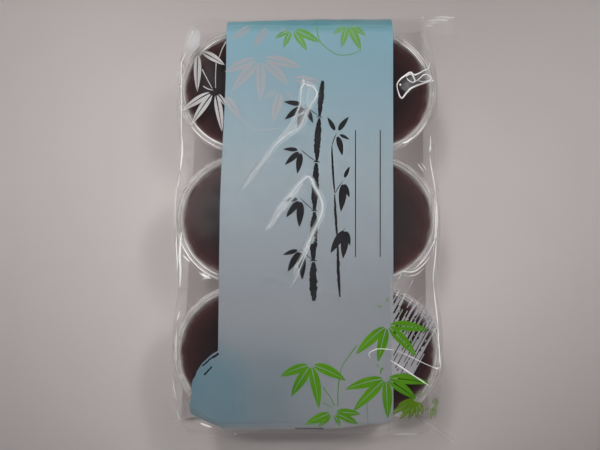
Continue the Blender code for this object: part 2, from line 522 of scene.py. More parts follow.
back_panel = flat_sheet(
    "back_panel", panel_west, panel_east, panel_near, panel_far, back_height + panel_lift, panel_cell
)
for vert in back_panel.data.vertices:
    if vert.co.x < 0:
        vert.co.x += panel_slant * vert.co.y * vert.co.x / (panel_west * mm)
    out = max(abs(vert.co.x) / mm - panel_flat, 0) / panel_rise_width
    vert.co.z += panel_rise * mm * out ** panel_rise_power
back_panel.data.materials.append(print_finish("pale back print", panel_tints, 25))
finish_piece(back_panel)

# The film: one clear tube of thin film, wrapped round the six cups and shrunk a little. It is taut over
# the rims, sinks between them, draws in at the sides below the rims, and runs out flat at each end.
rim_radius = cup_pitch / 2
film_top = 26.6
hollow_depth = 1.2
hollow_reach = 13.0
hollow_softness = 5.0
waist_depth = 2.4
rim_half_width = cup_columns * rim_radius + 0.6
rim_half_length = cup_rows * rim_radius + 0.6
base_half_width = rim_radius + 26.0 + 1.5
far_reach = 15.0
near_reach = 9.7
flare_start = 80.0
flare_length = 30.0
flare_share = 0.75
# The share of the height, the share of the way out to the rims' width, the share of an end's reach,
# and the corner's radius
film_sections = np.array((
    (0.00, 0.00, 0.34, 10), (0.05, 0.30, 0.90, 9), (0.14, 0.62, 1.00, 9), (0.30, 0.78, 0.88, 12),
    (0.52, 0.88, 0.70, 18), (0.76, 0.96, 0.50, 25), (0.90, 0.985, 0.27, 30), (1.00, 1.00, 0.00, 33),
)).T
cells_across = 140
cells_along = 210
wall_rings = 34
edge_crowding = 0.42
softening = (-0.05, -0.025, 0, 0.025, 0.05)
# How far the film swells on its top, at its ends and on its sides, how much of the soft folds' height it
# takes, and how far its top sags
top_swell = 0.06
end_swell = 0.30
side_swell = 0.22
fold_share = 0.8
top_sag = 0.12


def ease(t):
    """0 to 1 with level ends, as t goes from 0 to 1."""
    t = np.clip(t, 0, 1)
    return t * t * (3 - 2 * t)


def cup_middle(column, row):
    """The middle of a cup in plan, in mm."""
    return (column - (cup_columns - 1) / 2) * cup_pitch, (row - (cup_rows - 1) / 2) * cup_pitch


def past_rim(x, y):
    """How far a point in plan lies outside the nearest cup's rim, 0 over a cup, in mm."""
    column = np.clip(np.round(x / cup_pitch + 0.5), 0, cup_columns - 1)
    row = np.clip(np.round(y / cup_pitch + (cup_rows - 1) / 2), 0, cup_rows - 1)
    centre_x, centre_y = cup_middle(column, row)
    return np.maximum(np.hypot(x - centre_x, y - centre_y) - rim_radius, 0)


def hollow(x, y):
    """How far the film sinks at points in plan: 0 over the rims, 1 midway between them, with no ridge."""
    nearness = np.zeros_like(x)
    for column in range(cup_columns):
        for row in range(cup_rows):
            centre_x, centre_y = cup_middle(column, row)
            nearness += np.exp(-np.hypot(x - centre_x, y - centre_y) / hollow_softness)
    distance = -hollow_softness * np.log(np.maximum(nearness, 1e-12))
    return ease((distance - rim_radius + 2.5) / hollow_reach)


def section_at(level, along):
    """The wall's section: half width, half length and corner radius, its corners softened."""
    levels = [np.clip(level + shift, 0, 1) for shift in softening]
    width, reach, corner = (
        sum(np.interp(one, film_sections[0], row) for one in levels) / len(levels) for row in film_sections[1:]
    )
    length = rim_half_length + reach * np.where(along > 0, far_reach, near_reach)
    flare = flare_share * ease((abs(along) * length - flare_start) / flare_length)
    drawn_in = (rim_half_width - base_half_width) * (1 - width) * (1 - flare)
    return rim_half_width - drawn_in, length, corner


def rounded(x, y, half_width, half_length, corner):
    """Points of a rectangle moved in so that the rectangle's corners become round."""
    past_x = np.maximum(abs(x) - (half_width - corner), 0)
    past_y = np.maximum(abs(y) - (half_length - corner), 0)
    in_corner = (past_x > 0) & (past_y > 0)
    pull = np.maximum(past_x, past_y) / np.maximum(np.hypot(past_x, past_y), 1e-9)
    moved_x = np.copysign(half_width - corner + past_x * pull, x)
    moved_y = np.copysign(half_length - corner + past_y * pull, y)
    return np.where(in_corner, moved_x, x), np.where(in_corner, moved_y, y)


def waves(x, y, count, shortest, longest, seed):
    """Gentle uneven swell of height about 1: waves of random length and direction."""
    draw = np.random.default_rng(seed)
    total = np.zeros_like(x)
    for i in range(count):
        length = draw.uniform(shortest, longest)
        turn, phase = draw.uniform(0, math.pi), draw.uniform(0, 2 * math.pi)
        total += np.sin(2 * math.pi * (x * math.cos(turn) + y * math.sin(turn)) / length + phase)
    return total / math.sqrt(count)


# Soft folds of the film: from and to in plan, height and half width, in mm
soft_folds = (
    (-70, 38, -48, 30, 0.5, 1.6), (-69, 33, -50, 42, 0.4, 1.5), (-68, -20, -50, -33, 0.6, 1.5),
    (-62, -24, -46, -30, 0.5, 1.3), (-69, -40, -47, -34, 0.4, 1.6), (-2, 38, -20, 36, 0.4, 1.8),
    (69, 40, 50, 33, 0.5, 1.5), (63, 25, 49, 38, 0.4, 1.4), (68, -30, 50, -37, 0.5, 1.6),
    (66, -42, 50, -34, 0.4, 1.4), (8, 36, 24, 30, 0.3, 2.0), (-6, -36, -26, -30, 0.3, 2.0),
    (4, -38, 22, -44, 0.35, 2.0), (68, 83, 54, 79, 0.35, 1.2), (54, 79, 50, 70, 0.35, 1.2),
    (50, 70, 58, 72, 0.3, 1.2), (58, 72, 69, 77, 0.3, 1.2), (-4, 74, -1, 49, 0.30, 1.4),
    (-1, 49, -20, 38, 0.30, 1.4), (-20, 38, -36, 10, 0.30, 1.4), (-1, 21, -20, -6, 0.25, 1.4),
    (4, 18, 9, 2, 0.25, 1.4), (9, 2, 1, -17, 0.25, 1.4), (1, -17, -7, -33, 0.25, 1.4),
    (33, -72, 46, -70, 0.3, 1.3), (46, -70, 63, -77, 0.3, 1.3), (43, -75, 63, -88, 0.3, 1.3),
)


def folded(x, y):
    """The soft folds' height at points in plan, in mm."""
    total = np.zeros_like(x)
    for from_x, from_y, to_x, to_y, height, half_width in soft_folds:
        run = np.array((to_x - from_x, to_y - from_y))
        length = np.hypot(*run)
        along = ((x - from_x) * run[0] + (y - from_y) * run[1]) / length ** 2
        off = ((x - from_x) * run[1] - (y - from_y) * run[0]) / length
        near = np.exp(-(off / half_width) ** 2)
        total += height * near * ease(along / 0.25) * ease((1 - along) / 0.25)
    return total


def film_at(across, along, level):
    """Points of the film: places across and along from -1 to 1, and the share of the height."""
    across = across * (1 + edge_crowding * (1 - across ** 2))
    along = along * (1 + edge_crowding * (1 - along ** 2))
    half_width, half_length, corner = section_at(level, along)
    x, y = rounded(across * half_width, along * half_length, half_width, half_length, corner)
    between = past_rim(np.full_like(y, rim_half_width), y) / (rim_radius * (math.sqrt(2) - 1))
    beside = abs(y) < rim_half_length - rim_radius
    x = x - np.sign(x) * np.where(beside, waist_depth * ease(between) * level * abs(across) ** 3, 0)
    z = (film_top - hollow_depth * hollow(x, y)) * level
    inside = (1 - abs(across) ** 14) * ease(level / 0.4)
    z = z + inside * (top_swell * waves(x, y, 9, 14, 40, 11) + fold_share * folded(x, y) - top_sag)
    on_wall = ease((1 - level) / 0.3) * ease(level / 0.2)
    on_end = ease((abs(along) - 0.86) / 0.14) * on_wall
    z = z + on_end * (end_swell * waves(x, 0.25 * y, 8, 6, 16, 21))
    on_side = ease((abs(across) - 0.97) / 0.03) * on_wall
    x = x + np.sign(x) * on_side * side_swell * waves(y, 0.5 * z + np.sign(x) * 40, 9, 6, 22, 31)
    return x, y, np.maximum(z, back_height)


def closed_film(name):
    """The whole tube as one closed mesh: its top, rings of wall below the top's edge, and its back."""
    top = [(i, j) for i in range(cells_across + 1) for j in range(cells_along + 1)]
    border = (
        [(i, 0) for i in range(cells_across)] + [(cells_across, j) for j in range(cells_along)]
        + [(i, cells_along) for i in range(cells_across, 0, -1)] + [(0, j) for j in range(cells_along, 0, -1)]
    )
    grid = [(i, j, 1.0) for i, j in top]
    walls = [(i, j, 1 - (k / wall_rings) ** 1.35) for k in range(1, wall_rings) for i, j in border]
    back = [(i, j, 0.0) for i, j in top]
    places = np.array(grid + walls + back, float)
    x, y, z = film_at(2 * places[:, 0] / cells_across - 1, 2 * places[:, 1] / cells_along - 1, places[:, 2])

    def on_grid(i, j):
        return i * (cells_along + 1) + j

    back_start = len(grid) + len(walls)
    rings = [[on_grid(i, j) for i, j in border]]
    for k in range(wall_rings - 1):
        first = len(grid) + k * len(border)
        rings.append(list(range(first, first + len(border))))
    rings.append([back_start + on_grid(i, j) for i, j in border])
    faces = []
    for i in range(cells_across):
        for j in range(cells_along):
            corners = (on_grid(i, j), on_grid(i + 1, j), on_grid(i + 1, j + 1), on_grid(i, j + 1))
            faces.append(corners)
            faces.append(tuple(back_start + corner for corner in reversed(corners)))
    for upper, lower in zip(rings, rings[1:]):
        for p in range(len(border)):
            q = (p + 1) % len(border)
            faces.append((upper[p], lower[p], lower[q], upper[q]))
    data = bpy.data.meshes.new(name)
    data.from_pydata(np.stack((x, y, z), 1) * mm, [], faces)
    data.shade_smooth()
    return placed(name, data)


film = closed_film("film")
# Its white haze down the sides and at the near end is painted sheen.
film_finish = clear_finish("clear film", 0.008, 0.10, 45, 0.05, painted_side_sheen=0.45, whiteness=1.0)
film.data.materials.append(film_finish)
finish_piece(film)
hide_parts("film_pack")

# The hard creases in the film: fine lines where it was folded or pulled, their white a painted highlight of the
# light that they catch, and a few short ones painted glints. Most run along the pack's sides, where the film
# turns down past the rims, and round the rims.
crease_step = 0.8
crease_share = 1.35
crease_taper = 0.6
# Each crease: its radius in mm, and the points that it passes, in plan, with their height
white_creases = (
    (0.24, ((-69.4, 94.9, 26), (-69.3, 80.6, 26), (-69.0, 60.7, 26), (-68.7, 43.8, 26))),
    (0.32, ((-68.6, 46.0, 26), (-68.2, 38.0, 26), (-68.6, 32.0, 26), (-69.2, 26.0, 26))),
    (0.20, ((-69.4, 24.0, 26), (-70.8, 12.0, 25), (-71.0, 2.0, 25), (-70.6, -6.0, 25))),
    (0.46, ((-67.6, -7.0, 26), (-68.1, -14.0, 26), (-68.3, -21.0, 26), (-67.9, -27.5, 26), (-68.1, -37.1, 26))),
    (0.20, ((-70.0, -8.6, 26), (-70.3, -12.9, 26), (-70.1, -17.8, 26), (-69.7, -23.2, 26), (-69.9, -28.6, 26))),
    (0.34, ((-67.9, -49.1, 26), (-68.4, -52.0, 26), (-69.3, -54.6, 26))),
    (0.18, ((-69.0, -58.0, 26), (-69.4, -66.0, 26), (-69.2, -76.0, 26))),
    (0.20, ((-70.6, -84.0, 22), (-70.8, -92.0, 20), (-70.6, -98.0, 18))),
    (0.30, ((-66.6, -19.7, 25), (-64.8, -21.3, 25), (-62.8, -23.7, 25))),
    (0.46, ((-57.2, -29.4, 26), (-54.7, -30.5, 26), (-51.5, -32.4, 26))),
    (0.22, ((-58.2, -28.2, 26), (-54.8, -31.2, 26), (-52.4, -31.0, 26))),
    (0.20, ((-55.8, -28.4, 26), (-54.2, -31.0, 26), (-53.6, -33.4, 26))),
    (0.20, ((-51.8, -29.4, 26), (-53.6, -31.4, 26), (-56.4, -32.8, 26))),
    (0.22, ((67.2, 46.0, 26), (67.3, 42.0, 26), (67.1, 38.0, 26))),
    (0.42, ((67.2, 40.8, 26), (67.0, 38.5, 26), (66.7, 36.6, 26))),
    (0.24, ((66.7, 35.6, 26), (67.3, 28.5, 26), (68.3, 21.9, 26), (69.2, 13.5, 26))),
    (0.20, ((69.2, 14.0, 26), (69.7, 2.3, 26), (69.6, -3.2, 26), (69.0, -12.0, 26))),
    (0.26, ((69.1, -11.0, 26), (68.6, -18.0, 26), (68.0, -23.6, 26), (67.2, -30.9, 26), (67.2, -36.4, 26))),
    (0.26, ((67.1, -34.4, 26), (67.9, -44.0, 26), (68.6, -52.5, 26), (68.9, -57.6, 26))),
    (0.24, ((68.9, -56.6, 26), (69.0, -63.5, 26), (69.4, -71.0, 26), (69.7, -79.6, 26))),
    (0.14, ((69.7, -79.0, 26), (68.0, -79.2, 26), (66.3, -79.0, 26))),
    (0.14, ((68.4, 12.0, 25), (68.8, 4.0, 25), (68.8, -4.0, 25), (68.0, -12.0, 25), (66.8, -20.0, 25))),
    (0.24, ((59.5, 30.2, 25), (61.4, 27.6, 25), (63.1, 25.5, 25))),
    (0.20, ((61.6, 31.0, 25), (63.2, 28.6, 25), (64.4, 26.4, 25))),
    (0.26, ((50.5, -28.1, 26), (53.7, -28.7, 26), (57.7, -28.1, 26), (62.3, -24.4, 26), (65.6, -20.1, 26))),
    (0.15, ((51.6, -30.8, 26), (57.6, -30.2, 26), (63.0, -26.0, 26))),
    (0.34, ((51.6, 41.4, 26), (54.6, 42.4, 26), (57.2, 44.6, 26))),
    (0.18, ((67.4, 87.4, 26), (67.3, 85.4, 26), (66.9, 83.2, 26))),
    (
        0.34,
        (
            (67.2, 83.4, 26), (64.6, 82.4, 26), (61.1, 80.6, 26), (58.6, 79.9, 26), (56.9, 81.2, 26),
            (54.5, 79.9, 26), (51.0, 77.1, 26), (49.4, 74.2, 26), (49.9, 70.7, 26),
        ),
    ),
    (
        0.36,
        (
            (49.3, 74.0, 26), (49.9, 70.7, 26), (50.9, 67.5, 26), (52.2, 66.8, 26), (54.7, 70.0, 26),
            (57.5, 72.5, 26), (61.7, 74.2, 26), (65.8, 75.6, 26), (70.3, 76.9, 26),
        ),
    ),
    (
        0.24,
        (
            (54.7, 78.0, 26), (54.9, 79.2, 26), (57.3, 80.2, 26), (58.6, 78.5, 26), (59.3, 76.7, 26),
            (58.2, 75.6, 26), (55.8, 76.7, 26), (54.7, 78.5, 26),
        ),
    ),
    (
        0.22,
        (
            (58.6, 75.4, 26), (61.7, 77.7, 26), (64.1, 79.9, 26), (66.6, 79.9, 26), (68.2, 77.7, 26),
            (67.2, 76.7, 26), (63.7, 76.0, 26), (60.7, 76.7, 26),
        ),
    ),
    (0.46, ((51.2, 75.0, 26), (51.3, 74.2, 26), (51.2, 73.4, 26))),
    (0.26, ((43.3, -74.9, 26), (52.0, -80.6, 26), (58.0, -84.6, 26), (63.8, -88.4, 26))),
    (0.13, ((33.4, -74.4, 26), (32.2, -71.8, 26), (34.6, -70.0, 26), (38.0, -69.2, 26), (46.0, -69.8, 26))),
    (0.12, ((46.0, -69.8, 26), (54.0, -73.2, 26), (62.0, -77.0, 26), (69.4, -80.2, 26))),
    (0.18, ((-66.6, 110.4, 18), (-66.6, 108.6, 20), (-66.8, 106.8, 22))),
    (0.42, ((-56.6, -107.4, 20), (-53.4, -108.2, 20), (-50.0, -108.6, 20))),
    (0.34, ((-68.2, -99.6, 14), (-68.9, -103.0, 10), (-66.9, -106.8, 8))),
    (0.16, ((47.0, -115.1, 5), (53.6, -113.5, 5), (60.2, -111.9, 5))),
    (0.34, ((-40.2, -115.4, 6), (-39.4, -115.4, 6), (-38.6, -115.4, 6))),
    (0.26, ((-7.4, -115.8, 6), (-6.8, -115.8, 6), (-6.2, -115.8, 6))),
    (0.26, ((14.8, -115.6, 6), (15.5, -115.6, 6), (16.2, -115.6, 6))),
)
# Painted highlight arcs where the film bears on a rim's lip: the cup's column and row, the arc's radius, from
# and to in degrees, and the crease's radius
rim_highlight_arcs = (
    (0, 1, 34.6, 193, 250, 0.20), (0, 1, 32.6, 198, 248, 0.12), (0, 2, 32.0, 212, 252, 0.18),
    (0, 2, 34.4, 216, 252, 0.18), (1, 2, 31.4, 26, 60, 0.20), (1, 2, 32.4, 24, 58, 0.14),
    (1, 2, 34.6, 300, 330, 0.14), (1, 1, 34.6, 304, 352, 0.16), (1, 2, 33.4, 30, 58, 0.12),
    (0, 2, 31.6, 112, 140, 0.16),
)


def line_of(name, lines):
    """A mesh of bare edges through each list of points, in mm."""
    mesh = bmesh.new()
    for points in lines:
        verts = [mesh.verts.new(Vector(point) * mm) for point in points]
        for pair in zip(verts, verts[1:]):
            mesh.edges.new(pair)
    data = bpy.data.meshes.new(name)
    mesh.to_mesh(data)
    mesh.free()
    return placed(name, data)


def crease_along_line():
    """The tree that lays a line onto the film as a fine round crease, tapered to both ends."""
    tree, given, result = new_tree(
        "Crease along a line", {"Film": "Object", "Radius": "Float", "Step": "Float", "Finish": "Material"}
    )
    line = add_node(tree, "GeometryNodeMeshToCurve", {"Mesh": given["Geometry"]}).outputs["Curve"]
    smooth = add_node(tree, "GeometryNodeCurveSplineType", {"Curve": line}, spline_type="CATMULL_ROM")
    even = add_node(
        tree, "GeometryNodeResampleCurve", {"Curve": smooth.outputs["Curve"], "Length": given["Step"]},
        mode="LENGTH",
    )
    film_mesh = add_node(tree, "GeometryNodeObjectInfo", {"Object": given["Film"]}, transform_space="ORIGINAL")
    nearest = add_node(
        tree, "GeometryNodeProximity", {0: film_mesh.outputs["Geometry"]}, target_element="FACES"
    )
    on_film = add_node(
        tree, "GeometryNodeSetPosition",
        {"Geometry": even.outputs["Curve"], "Position": nearest.outputs["Position"]},
    )
    share = add_node(tree, "GeometryNodeSplineParameter").outputs["Factor"]
    swell = math_of(tree, "SINE", math_of(tree, "MULTIPLY", share, math.pi))
    radius = math_of(tree, "MULTIPLY", math_of(tree, "POWER", swell, crease_taper), given["Radius"])
    ring = add_node(tree, "GeometryNodeCurvePrimitiveCircle", {"Resolution": 6, "Radius": 1.0})
    tube = add_node(
        tree, "GeometryNodeCurveToMesh",
        {
            "Curve": on_film.outputs["Geometry"], "Profile Curve": ring.outputs["Curve"], "Scale": radius,
            "Fill Caps": True,
        },
    )
    smooth_mesh = add_node(tree, "GeometryNodeSetShadeSmooth", {"Geometry": tube.outputs["Mesh"]})
    return end_tree(tree, smooth_mesh.outputs["Geometry"], given, result)


def join(pieces, name):
    """Makes several meshes one piece."""
    mesh = bmesh.new()
    for piece in pieces:
        mesh.from_mesh(piece.data)
    material = pieces[0].data.materials[0]
    joined = piece_of(mesh, name)
    joined.data.materials.append(material)
    for piece in pieces:
        bpy.data.objects.remove(piece, do_unlink=True)
    return joined


crease_tree = crease_along_line()


def crease_piece(name, creases, finish, onto):
    """Lays lines onto a piece of film as creases, and makes them one piece."""
    pieces = []
    for number, (radius, points) in enumerate(creases):
        crease = line_of(f"{name}_{number}", (points,))
        shape_by(
            crease, crease_tree,
            {"Film": onto, "Radius": crease_share * radius * mm, "Step": crease_step * mm, "Finish": finish},
        )
        pieces.append(crease)
    finish_piece(join(pieces, name))


def arc_points(column, row, radius, start, end):
    """Points of an arc round one cup, at the rims' height."""
    x, y = cup_middle(column, row)
    turns = [math.radians(start + (end - start) * i / 10) for i in range(11)]
    return [(x + radius * math.cos(turn), y + radius * math.sin(turn), film_top) for turn in turns]


# Mostly white haze: the painted highlight on the creases
highlight_crease_finish = clear_finish("crease film with painted highlights", 0.90, 0.18, 300, 0.05, whiteness=0.93)
arcs = tuple((size, arc_points(*arc)) for *arc, size in rim_highlight_arcs)
crease_piece("white_creases", white_creases + arcs, highlight_crease_finish, film)

# The seals: each end of the tube is welded flat between ribbed jaws, which leave rows of fine crimps. The
# loose corners of the seals stick out, and below the pack the seals and the long seam are folded flat.
crimp_pitch = 1.7
crimp_height = 0.35
# Each loose corner: its length and width, its middle, its turns in degrees, and its number of crimps
seal_corners = {
    "far right": ((19.0, 11.0), (77.6, 117.4, 2.8), (0, 2, -1), 4),
    "near right": ((24.0, 8.0), (70.1, -113.1, 4.6), (68, 0, 144), 4),
    "near left": ((11.0, 9.0), (-71.6, -102.4, 5.2), (8, 4, 104), 4),
}


def crimped_sheet():
    """The tree that presses ridges into a sheet in its XY plane, along the edge that faces +Y."""
    tree, given, result = new_tree(
        "Crimped sheet",
        {"Edge": "Float", "Pitch": "Float", "Height": "Float", "Crimps": "Float", "Finish": "Material"},
    )
    place = add_node(tree, "GeometryNodeInputPosition").outputs["Position"]
    along = add_node(tree, "ShaderNodeSeparateXYZ", {"Vector": place}).outputs["Y"]
    count = math_of(tree, "DIVIDE", math_of(tree, "SUBTRACT", given["Edge"], along), given["Pitch"])
    ridge = math_of(tree, "SINE", math_of(tree, "MULTIPLY", count, 2 * math.pi))
    ridge = math_of(tree, "MULTIPLY", ridge, math_of(tree, "LESS_THAN", count, given["Crimps"]))
    rise = math_of(tree, "MULTIPLY", ridge, given["Height"])
    offset = add_node(tree, "ShaderNodeCombineXYZ", {"Z": rise}).outputs["Vector"]
    pressed = add_node(tree, "GeometryNodeSetPosition", {"Geometry": given["Geometry"], "Offset": offset})
    return end_tree(tree, pressed.outputs["Geometry"], given, result)


crimp_tree = crimped_sheet()


def crimp(sheet, edge, crimps, height, finish):
    """Presses crimps into a sheet of the sealed film."""
    shape_by(
        sheet, crimp_tree,
        {
            "Edge": edge * mm, "Pitch": crimp_pitch * mm, "Height": height * mm, "Crimps": float(crimps),
            "Finish": finish,
        },
    )


seal_finish = clear_finish("sealed film", 0.07, 0.34, 220, 0.06, whiteness=0.90, faces=0.6)
corner_pieces = []
for name, ((length, width), place, turns, crimps) in seal_corners.items():
    corner = flat_sheet("seal corner " + name, -length / 2, length / 2, -width / 2, width / 2, 0, 0.4)
    crimp(corner, width / 2, crimps, crimp_height, seal_finish)
    turn = Euler([math.radians(degrees) for degrees in turns]).to_matrix().to_4x4()
    corner.data.transform(Matrix.Translation(Vector(place) * mm) @ turn)
    corner_pieces.append(corner)
loose_corners = join(corner_pieces, "loose_corners")
finish_piece(loose_corners)
# Painted highlight lines along the far right corner's crimps, in plan
crimp_lines = (
    (0.30, ((64.2, 122.4, 3), (66.4, 122.5, 3), (68.9, 122.6, 3))),
    (0.44, ((75.6, 122.6, 3), (79.0, 122.7, 3), (83.4, 122.5, 3), (87.6, 122.6, 3))),
    (0.40, ((79.3, 123.6, 3), (79.1, 122.9, 3), (78.8, 122.2, 3))),
    (0.42, ((71.0, 120.5, 3), (76.0, 120.7, 3), (83.8, 120.6, 3))),
    (0.24, ((69.4, 118.9, 3), (73.6, 119.1, 3), (77.6, 119.0, 3))),
    (0.18, ((69.4, 117.2, 3), (72.0, 117.4, 3), (74.8, 117.3, 3))),
    (0.24, ((84.0, 112.8, 3), (84.3, 112.8, 3), (84.6, 112.8, 3))),
)
crease_piece("crimp_lines", crimp_lines, highlight_crease_finish, loose_corners)

# Below the pack: the folded end seals' reach in from the ends and half width, the middle and the turn of
# each, and the long seam's half length, width and place across
folded_reach = 11.0
folded_half_width = 46
folded_middles = {"far": (115.5, 0), "near": (-110.3, math.pi)}
folded_crimp_height = 0.07
under_crimps = 5
seam_half_length = 105
seam_width = 11.0
seam_across = 3
seam_crimp_height = 0.05
under_height = 0.20
seam_gap = 0.02


def under_seal(name, half_length, width, height, middle, turn):
    """A crimped strip of sealed film below the pack, its middle in mm, turned about Z."""
    seal = flat_sheet(name, -half_length, half_length, -width / 2, width / 2, 0, 0.5)
    crimp(seal, width / 2, under_crimps, height, seal_finish)
    seal.data.transform(Matrix.Translation(Vector(middle) * mm) @ Matrix.Rotation(turn, 4, "Z"))
    return seal


under_seals = [
    under_seal(
        "folded seal " + name, folded_half_width, folded_reach, folded_crimp_height,
        (0, along, under_height), turn,
    )
    for name, (along, turn) in folded_middles.items()
]
under_seals.append(
    under_seal(
        "long seam", seam_half_length, seam_width, seam_crimp_height, (seam_across, 0, under_height - seam_gap),
        math.pi / 2,
    )
)
back_seals = join(under_seals, "back_seals")
finish_piece(back_seals)

# The printed band: opaque pale blue ink on the inner side of the film, the length of the pack, brushed
# out at its near left into a deeper pool. Like all the print it lies just under the film.
band_depth = 0.20
band_near = -111.2
band_far = 115.0
pool_edge = -60.6
pool_top = -70.4
pool_full = -88.0
# Bare gaps that the brush left near the pool's edge: from and to in plan, and half width, in mm
bare_gaps = (
    ((-47.4, -71.8), (-49.6, -73.4), 0.60), ((-50.4, -73.8), (-55.0, -77.8), 0.40),
    ((-50.6, -78.8), (-54.2, -82.6), 0.45), ((-59.0, -77.6), (-59.8, -80.6), 0.50),
    ((-60.2, -82.6), (-60.6, -84.6), 0.50),
)
# The band's tints from its near end to its far one, and where those are in metres; the two darkest, on the far
# end where the film turns down away from the light, are painted shade
band_length = (-0.110, 0.1165)
band_tints_and_far_shade = (
    (0.0, (0.285, 0.295, 0.315)), (0.30, (0.285, 0.302, 0.324)), (0.62, (0.325, 0.390, 0.425)),
    (0.86, (0.265, 0.415, 0.482)), (0.945, (0.262, 0.455, 0.540)), (0.972, (0.105, 0.29, 0.33)),
    (1.0, (0.055, 0.20, 0.24)),
)
# Each part of the pool: from and to in metres, to the left and towards the near end, and its tint
pools = (
    ((0.022, -0.024), (-0.052, -0.084), (0.178, 0.226, 0.258, 1)),
    ((-0.018, -0.060), (-0.060, -0.084), (0.112, 0.232, 0.288, 1)),
)
pool_strength = 1.7


def lay_under_film():
    """The tree that drops flat print onto the film from above and sets it just below."""
    tree, given, result = new_tree(
        "Lay under the film", {"Film": "Object", "Depth": "Float", "Finish": "Material"}
    )
    film_mesh = add_node(tree, "GeometryNodeObjectInfo", {"Object": given["Film"]}, transform_space="ORIGINAL")
    place = add_node(tree, "GeometryNodeInputPosition").outputs["Position"]
    split = add_node(tree, "ShaderNodeSeparateXYZ", {"Vector": place}).outputs
    above = add_node(tree, "ShaderNodeCombineXYZ", {"X": split["X"], "Y": split["Y"], "Z": 0.1})
    fall = add_node(
        tree, "GeometryNodeRaycast",
        {
            "Target Geometry": film_mesh.outputs["Geometry"], "Source Position": above.outputs["Vector"],
            "Ray Direction": (0, 0, -1), "Ray Length": 0.2,
        },
    ).outputs
    down = math_of(tree, "MULTIPLY", given["Depth"], -1)
    offset = add_node(tree, "ShaderNodeCombineXYZ", {"Z": down}).outputs["Vector"]
    laid = add_node(
        tree, "GeometryNodeSetPosition",
        {
            "Geometry": given["Geometry"], "Selection": fall["Is Hit"], "Position": fall["Hit Position"],
            "Offset": offset,
        },
    )
    return end_tree(tree, laid.outputs["Geometry"], given, result)


under_film_tree = lay_under_film()


def lay(piece, depth, finish):
    """Lays flat print under the film, as a finished piece."""
    shape_by(piece, under_film_tree, {"Film": film, "Depth": depth * mm, "Finish": finish})
    finish_piece(piece)


def band_left(y):
    """The band's left edge, with the pool brushed out beyond it near the pack's near end."""
    plain = -47.2 + 2.4 * ease(y / 90)
    brushed = pool_edge + 0.25 * np.sin(y / 1.7) + 0.2 * np.sin(y / 0.7 + 1)
    brushed += 0.09 * np.minimum(y - pool_full, 0)
    corner = 18 * ease((-102.0 - y) / 9.5)
    short_of_full = np.clip((y - pool_full) / (pool_top - pool_full), 0, 1)
    out = (1 - short_of_full ** 1.6) ** 0.75
    return plain + (brushed + corner - plain) * out


def band_right(y):
    """The band's right edge, which runs outwards a little to the far end."""
    return 46.2 + 0.014 * y


def band_sheet(name):
    """A grid between the band's two edges, its far end slanting and its near right corner cut short."""
    columns = 110
    rows = 256
    mesh = bmesh.new()
    bmesh.ops.create_grid(mesh, x_segments=columns, y_segments=rows, size=0.5)
    for vert in mesh.verts:
        y = band_near + (band_far - band_near) * (vert.co.y + 0.5)
        left, right = float(band_left(np.float64(y))), float(band_right(np.float64(y)))
        x = left + (right - left) * (vert.co.x + 0.5)
        y += 3.1 * (x / 46) * max(y - 100, 0) / (band_far - 100)
        y += 5.4 * float(ease((x - 10) / 42)) * max(-95 - y, 0) / (-95 - band_near)
        vert.co = Vector((x, y, 0)) * mm
    return piece_of(mesh, name)


def near_line(tree, place, rough, start, end, half_width):
    """1 within a rough half width of a line in plan, in mm, and 0 further off."""
    def vectors(operation, *values, **others):
        inputs = {**dict(enumerate(values)), **others}
        return add_node(tree, "ShaderNodeVectorMath", inputs, operation=operation).outputs

    run = (Vector(end) - Vector(start)) * mm
    flat = vectors("MULTIPLY", place, (1, 1, 0))["Vector"]
    off = vectors("SUBTRACT", flat, (*Vector(start) * mm, 0))["Vector"]
    along = vectors("DOT_PRODUCT", off, (*run / run.length_squared, 0))["Value"]
    along = add_node(tree, "ShaderNodeClamp", {"Value": along}).outputs["Result"]
    foot = vectors("SCALE", (*run, 0), Scale=along)["Vector"]
    away = vectors("DISTANCE", off, foot)["Value"]
    return math_of(tree, "LESS_THAN", away, math_of(tree, "MULTIPLY", rough, 2 * half_width * mm))


def band_finish():
    """Blue that pales and greys from the far end to the near one, with the deeper pool at the near left, and
    painted shade where it turns down at the far end.
    """
    finish, tree, place, surface = new_finish("pale blue print")
    across, along, _ = add_node(tree, "ShaderNodeSeparateXYZ", {"Vector": place}).outputs
    tint = tint_of(tree, ranged(tree, along, *band_length), band_tints_and_far_shade)
    cloudy = noise(tree, place, 28, 3)
    for leftwards, nearer, color in pools:
        pool = cloudy
        for way, limits in ((across, leftwards), (along, nearer)):
            pool = math_of(tree, "MULTIPLY", pool, ranged(tree, way, *limits, interpolation_type="SMOOTHSTEP"))
        pool = math_of(tree, "MULTIPLY", pool, pool_strength, use_clamp=True)
        tint = add_node(tree, "ShaderNodeMix", {"Factor": pool, 6: tint, 7: color}, data_type="RGBA").outputs[2]
    look = bsdf(tree, "Principled", {"Base Color": tint, "Roughness": 0.40})
    bare = bsdf(tree, "Transparent")
    rough = noise(tree, place, 900, 1)
    for start, end, half_width in bare_gaps:
        look = mixed(tree, near_line(tree, place, rough, start, end, half_width), look, bare)
    tree.links.new(look, surface)
    return finish


band = band_sheet("printed_band")
lay(band, band_depth, band_finish())

# The bamboo leaves: sprays of long pointed leaves, each printed as two halves with a bare midrib. Those
# over the cups and on the band are white and pale, and those at the two ends are green.
leaf_depth = 0.12
leaf_steps = 20
leaf_widest = 0.37
leaf_slenderness = 0.30
